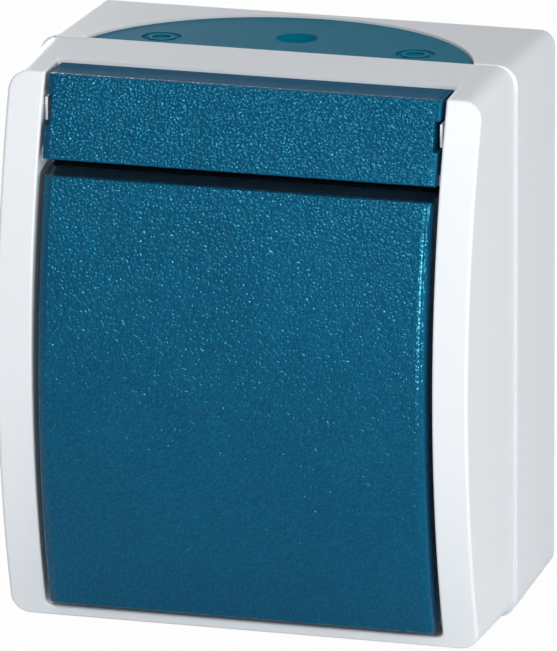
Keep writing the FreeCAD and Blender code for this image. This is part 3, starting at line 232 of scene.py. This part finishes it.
def buildGrainGroup(grain):
    group, given, out = newGroup(
        "mouldedGrain",
        {"Vector": "Vector", "Cell Size": "Float", "Mask": "Float"},
        ("Height", "Bead", "Patch"))
    place = given["Vector"]
    warp = noise(group, place, grain["warpScale"], detail=1.0)["Color"]
    shift = vectorMaths(group, "SUBTRACT", warp, (0.5, 0.5, 0.5))    # noise lies around a half
    push = newNode(group, "ShaderNodeVectorMath", {0: shift, "Scale": grain["warp"]}, operation="SCALE")
    moved = vectorMaths(group, "ADD", place, push.outputs[0])
    scale = maths(group, "DIVIDE", 1.0, given["Cell Size"])
    cells = newNode(group, "ShaderNodeTexVoronoi", {
        "Vector": moved, "Scale": scale, "Randomness": 1.0}, feature="F1")
    away = cells.outputs["Distance"]
    bead = maths(group, "SUBTRACT", 1.0, maths(group, "MULTIPLY", away, away), clamp=True)
    fine = noise(group, place, grain["fineScale"], detail=1.0)["Fac"]
    both = maths(group, "ADD", bead, maths(group, "MULTIPLY", fine, grain["fineShare"]))
    group.links.new(maths(group, "MULTIPLY", both, given["Mask"]), out["Height"])
    group.links.new(bead, out["Bead"])
    group.links.new(noise(group, place, grain["patchScale"], detail=3.0)["Fac"], out["Patch"])
    return group


# Where an arched front lies, in metres, from its axis, radius and half width
archFront = {
    "depth": (0.0003, 0.0007),       # the front fades out between these depths under the arch
    "endFade": 0.0003,
    "calmBand": (0.0004, 0.0007),    # the grain grows to full between these distances in from the edge
    "calmLeast": 0.3,                # share of the grain that is left beside the ends
    "rollWidth": 0.00045,
}


def buildArchMaskGroup(front):
    # Mask: 1 on the arched front, 0 on the ends, the bevels and everything behind
    # Calm: how much of the grain is left there, less near the ends
    # Roll: how far in from the edge a point lies, up to the width over which the front rounds off
    group, given, out = newGroup(
        "archMask",
        {"Vector": "Vector", "Axis": "Vector", "Radius": "Float", "Half Width": "Float", "Edge": "Float"},
        ("Mask", "Calm", "Roll"))
    flat = vectorMaths(group, "MULTIPLY", given["Vector"], (0, 1, 1))
    away = vectorMaths(group, "SUBTRACT", flat, given["Axis"])
    reach = newNode(group, "ShaderNodeVectorMath", {0: away}, operation="LENGTH").outputs["Value"]
    depth = maths(group, "SUBTRACT", given["Radius"], reach)
    onFront = mapRange(group, depth, front["depth"], (1.0, 0.0), smooth=True)

    across = newNode(group, "ShaderNodeSeparateXYZ", {0: given["Vector"]}).outputs["X"]
    fromEnd = maths(group, "SUBTRACT", given["Half Width"], maths(group, "ABSOLUTE", across))
    inside = mapRange(group, fromEnd, (0.0, front["endFade"]), smooth=True)
    whole = maths(group, "MULTIPLY", onFront, inside)
    past = maths(group, "SUBTRACT", fromEnd, given["Edge"])
    calm = mapRange(group, past, front["calmBand"], (front["calmLeast"], 1.0), smooth=True)
    roll = maths(group, "MINIMUM", maths(group, "MAXIMUM", past, 0.0), front["rollWidth"])
    group.links.new(whole, out["Mask"])
    group.links.new(maths(group, "MULTIPLY", whole, calm), out["Calm"])
    group.links.new(roll, out["Roll"])
    return group


# Small grain over soft clouds, for the parts inside
insideMottle = {
    "fineScale": 900.0,
    "cloudScale": 160.0,
    "fineShare": 0.4,
    "cloudShare": 0.6,
}


def buildMottleGroup(mottle):
    group, given, out = newGroup(
        "insideMottle", {"Vector": "Vector", "Stretch": "Vector"}, ("Fine", "Mottle"))
    stretched = vectorMaths(group, "MULTIPLY", given["Vector"], given["Stretch"])
    fine = noise(group, stretched, mottle["fineScale"], detail=3.0)["Fac"]
    cloud = noise(group, given["Vector"], mottle["cloudScale"], detail=4.0)["Fac"]
    clouds = maths(group, "MULTIPLY", cloud, mottle["cloudShare"])
    group.links.new(fine, out["Fine"])
    group.links.new(maths(group, "MULTIPLY_ADD", fine, mottle["fineShare"], clouds), out["Mottle"])
    return group


grainGroup = buildGrainGroup(beadGrain)
archMaskGroup = buildArchMaskGroup(archFront)
mottleGroup = buildMottleGroup(insideMottle)
print("shared effects built")


def newMaterial(name, look):
    material = bpy.data.materials.new(name)
    material.use_nodes = True
    tree = material.node_tree
    tree.nodes.clear()
    shader = newNode(tree, "ShaderNodeBsdfPrincipled", {
        "Base Color": opaque(look["colour"]),
        "Roughness": look["roughness"],
        "Metallic": look.get("metallic", 0.0),
        "IOR": look.get("ior", 1.5),
        "Specular IOR Level": look.get("specular", 0.5),
        "Specular Tint": opaque(look.get("tint", (1, 1, 1))),
    })
    newNode(tree, "ShaderNodeOutputMaterial", {"Surface": shader.outputs[0]})
    place = newNode(tree, "ShaderNodeTexCoord").outputs["Object"]
    return material, tree, shader, place


def dress(tree, shader, colour, roughness, height, depth):
    tree.links.new(colour, shader.inputs["Base Color"])
    tree.links.new(roughness, shader.inputs["Roughness"])
    bump = newNode(tree, "ShaderNodeBump", {"Height": height, "Distance": depth, "Strength": 1.0})
    tree.links.new(bump.outputs[0], shader.inputs["Normal"])


# White case plastic: satin, with a very fine eroded grain
whitePlastic = {
    "colour": (0.83, 0.855, 0.875),
    "colourLow": (0.815, 0.842, 0.866),
    "cloudScale": 45.0,
    "roughness": 0.42,
    "roughnessSpread": 0.06,
    "grainScale": 3800.0,
    "bump": 0.000006,
}


def makeWhitePlastic(look):
    material, tree, shader, place = newMaterial("whiteCasePlastic", look)
    cloud = noise(tree, place, look["cloudScale"], detail=4.0)["Fac"]
    colour = mixColour(tree, cloud, opaque(look["colourLow"]), opaque(look["colour"]))
    grain = noise(tree, place, look["grainScale"], detail=3.0, roughness=0.6)["Fac"]
    spread = look["roughnessSpread"]
    rough = mapRange(tree, grain, result=(look["roughness"] - spread, look["roughness"] + spread))
    dress(tree, shader, colour, rough, grain, look["bump"])
    return material


# Blue plastic with a beaded grain on the arched fronts, smooth elsewhere, with painted glints on the bead
# tops and a painted shadow on the rocker's top bevels
bluePlastic = {
    "colour": (0.0, 0.045, 0.113),
    # the high colour lightens the random patches, and the bead tops as painted glints
    "colourHigh": (0.0, 0.09, 0.19),
    "glintRange": (0.7, 1.0),          # the top of each bead, painted in the high colour as a painted glint
    "glintShare": 0.6,
    "patchShare": 0.4,
    "paintedShade": (0.0, 0.006, 0.016),    # painted shadow: colour of the bevels above the crown's height, dark in the photograph under the strip
    "paintedShadeFade": 0.0001,
    "roughness": 0.17,
    "roughnessSpread": 0.04,
    "patchRange": (0.3, 0.7),
    "smoothRoughness": 0.28,
    "specular": 0.84,
    "tint": (0.14, 0.8, 1.0),
    "cellSize": 0.00044,
    "bump": 0.00015,                 # metres that a full bead stands up
    "edgeSlope": 0.55,               # of the rounding at either end
}
stripPlastic = {**bluePlastic, "smoothRoughness": 0.7}
insertPlastic = {
    **bluePlastic,
    "colour": (0.0, 0.145, 0.235),
    "colourHigh": (0.0, 0.165, 0.26),
    "smoothRoughness": 0.5,
    "specular": 0.32,
    "ior": 1.2,
}

# The arch of each front: its axis in Y and Z, its radius, how far its ends reach, how far in from
# them the edge lies where it rounds off, and the height above which the bevels get a painted shadow
noCrown = 1.0                        # higher than the object, so nothing gets the painted shadow
rockerArch = {
    "axis": (0.06495, -0.0047),
    "radius": 0.112,
    "halfWidth": 0.0275,
    "edge": 0.0007,
    "crown": 0.0246,
}
stripArch = {
    "axis": (0.0654, -0.0022),
    "radius": 0.112,
    "halfWidth": 0.02775,
    "edge": 0.0003,
    "crown": noCrown,
}
insertArch = {**stripArch, "radius": 0.2, "halfWidth": 0.0, "edge": 0.0}    # no width: smooth all over


def makeBluePlastic(look, name, arch):
    material, tree, shader, place = newMaterial(name, look)
    mask = newNode(tree, "ShaderNodeGroup", {
        "Vector": place, "Axis": (0, *arch["axis"]), "Radius": arch["radius"],
        "Half Width": arch["halfWidth"], "Edge": arch["edge"]}, node_tree=archMaskGroup).outputs
    grain = newNode(tree, "ShaderNodeGroup", {
        "Vector": place, "Mask": mask["Calm"], "Cell Size": look["cellSize"]}, node_tree=grainGroup).outputs
    offFront = maths(tree, "SUBTRACT", 1.0, mask["Mask"])

    # Painted glints: the tops of the beads on the front take the high colour; the patches add tone that
    # differs at random
    glintDots = mapRange(tree, grain["Bead"], look["glintRange"], smooth=True)
    glintDots = maths(tree, "MULTIPLY", glintDots, mask["Mask"])
    patches = maths(tree, "MULTIPLY", grain["Patch"], look["patchShare"])
    tone = maths(tree, "MULTIPLY_ADD", glintDots, look["glintShare"], patches)
    colour = mixColour(tree, tone, opaque(look["colour"]), opaque(look["colourHigh"]))
    # Painted shadow: off the front and above the crown's height, the colour turns to the dark bevel colour
    # that stands in for the strip's shadow
    level = newNode(tree, "ShaderNodeSeparateXYZ", {0: place}).outputs["Z"]
    fade = look["paintedShadeFade"]
    above = mapRange(tree, level, (arch["crown"] - fade, arch["crown"] + fade))
    colour = mixColour(tree, maths(tree, "MULTIPLY", above, offFront), colour, opaque(look["paintedShade"]))

    base, spread = look["roughness"], look["roughnessSpread"]
    grained = mapRange(tree, grain["Patch"], look["patchRange"], (base - spread, base + spread))
    smooth = maths(tree, "MULTIPLY", offFront, look["smoothRoughness"] - base)
    rough = maths(tree, "ADD", grained, smooth)

    rolled = maths(tree, "MULTIPLY", mask["Roll"], look["edgeSlope"])
    height = maths(tree, "MULTIPLY_ADD", grain["Height"], look["bump"], rolled)
    dress(tree, shader, colour, rough, height, depth=1.0)    # the height is in metres already
    return material


# The parts inside: plastics and rubber with a fine mottle, metals with drawn lines or a cast grain
insidePart = {
    "lines": (1.0, 1.0, 1.0),        # a small number draws the grain out along that axis
    "mottle": 0.08,                  # share of the colour that it goes up and down by
    "roughnessRange": (0.8, 1.2),    # times the roughness
    "bump": 0.00001,
}
insideMetal = {**insidePart, "metallic": 1.0}
sealRubber = {
    **insidePart,
    "colour": (0.035, 0.035, 0.04),
    "roughness": 0.75,
    "mottle": 0.2,
    "bump": 0.00002,
}
mechanismPlastic = {**insidePart, "colour": (0.7, 0.69, 0.63), "roughness": 0.45, "mottle": 0.03}
togglePlastic = {**insidePart, "colour": (0.78, 0.78, 0.75), "roughness": 0.4, "mottle": 0.02}
screwSteel = {**insideMetal, "colour": (0.62, 0.63, 0.65), "roughness": 0.32, "lines": (1.0, 0.15, 1.0)}
springSteel = {**insideMetal, "colour": (0.5, 0.51, 0.53), "roughness": 0.25, "lines": (0.3, 1.0, 1.0)}
copper = {
    **insideMetal,
    "colour": (0.78, 0.42, 0.27),
    "roughness": 0.3,
    "lines": (1.0, 1.0, 0.1),
    "mottle": 0.12,
}
contactSilver = {**insideMetal, "colour": (0.85, 0.84, 0.82), "roughness": 0.3, "mottle": 0.1}
terminalBrass = {
    **insideMetal,
    "colour": (0.75, 0.57, 0.27),
    "roughness": 0.32,
    "lines": (1.0, 0.1, 1.0),
    "mottle": 0.1,
}


def makeInside(look, name):
    material, tree, shader, place = newMaterial(name, look)
    grain = newNode(tree, "ShaderNodeGroup", {
        "Vector": place, "Stretch": look["lines"]}, node_tree=mottleGroup).outputs
    low = [value * (1 - look["mottle"]) for value in look["colour"]]
    high = [min(1.0, value * (1 + look["mottle"])) for value in look["colour"]]
    colour = mixColour(tree, grain["Mottle"], opaque(low), opaque(high))
    least, most = (min(1.0, look["roughness"] * times) for times in look["roughnessRange"])
    rough = mapRange(tree, grain["Fine"], result=(least, most))
    dress(tree, shader, colour, rough, grain["Fine"], look["bump"])
    return material


# By the record's material slot, or by the node where one slot has two finishes
finishes = {
    "case_plastic": makeWhitePlastic(whitePlastic),
    "rocker_plastic": makeBluePlastic(bluePlastic, "rockerPlastic", rockerArch),
    "seal_rubber": makeInside(sealRubber, "sealRubber"),
    "mechanism_plastic": makeInside(mechanismPlastic, "mechanismPlastic"),
    "toggle_plastic": makeInside(togglePlastic, "togglePlastic"),
    "screw_steel": makeInside(screwSteel, "screwSteel"),
    "spring_steel": makeInside(springSteel, "springSteel"),
    "copper": makeInside(copper, "copper"),
    "contact_silver": makeInside(contactSilver, "contactSilver"),
    "terminal_brass": makeInside(terminalBrass, "terminalBrass"),
}
byNode = {
    "name_strip": makeBluePlastic(stripPlastic, "stripPlastic", stripArch),
    "cable_entry_insert": makeBluePlastic(insertPlastic, "insertPlastic", insertArch),
}

for part in frame["record"]["subparts"]:
    piece = frame["nodes"][part["node"]]
    piece.data.materials.clear()
    piece.data.materials.append(byNode.get(part["node"]) or finishes[part["material_slot"]])
print("materials set")


# Black rubber lip on the rocker's crown, near-black so that it paints the shadow under the strip as a black
# line
crownShadowLip = {
    "halfLength": 0.0272,
    "front": -0.0395,            # in Y
    "back": -0.0374,
    "low": 0.0255,               # in Z, on the crown
    "high": 0.02575,
    "round": 0.00008,
    "roundSteps": 2,
    # near-black and without gloss: painted shadow in the slit under the strip
    "rubber": {**insidePart, "colour": (0.006, 0.008, 0.01), "roughness": 0.9, "specular": 0.0},
}


def makeCrownShadowLip(lip):
    shape = bmesh.new()
    size = Matrix.Diagonal((2 * lip["halfLength"], lip["back"] - lip["front"], lip["high"] - lip["low"], 1))
    middle = Matrix.Translation((0, (lip["front"] + lip["back"]) / 2, (lip["low"] + lip["high"]) / 2))
    bmesh.ops.create_cube(shape, size=1.0, matrix=middle @ size)
    bmesh.ops.bevel(shape, geom=shape.edges[:], affect="EDGES", offset=lip["round"],
                    segments=lip["roundSteps"], profile=0.5, material=-1)
    mesh = bpy.data.meshes.new("rockerCrownShadowLip")
    shape.to_mesh(mesh)
    shape.free()
    piece = bpy.data.objects.new("rockerCrownShadowLip", mesh)
    piece.data.materials.append(makeInside(lip["rubber"], "lipShadowRubber"))
    scene.collection.objects.link(piece)
    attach(piece, "rocker_assembly")


makeCrownShadowLip(crownShadowLip)
print("crown lip made")
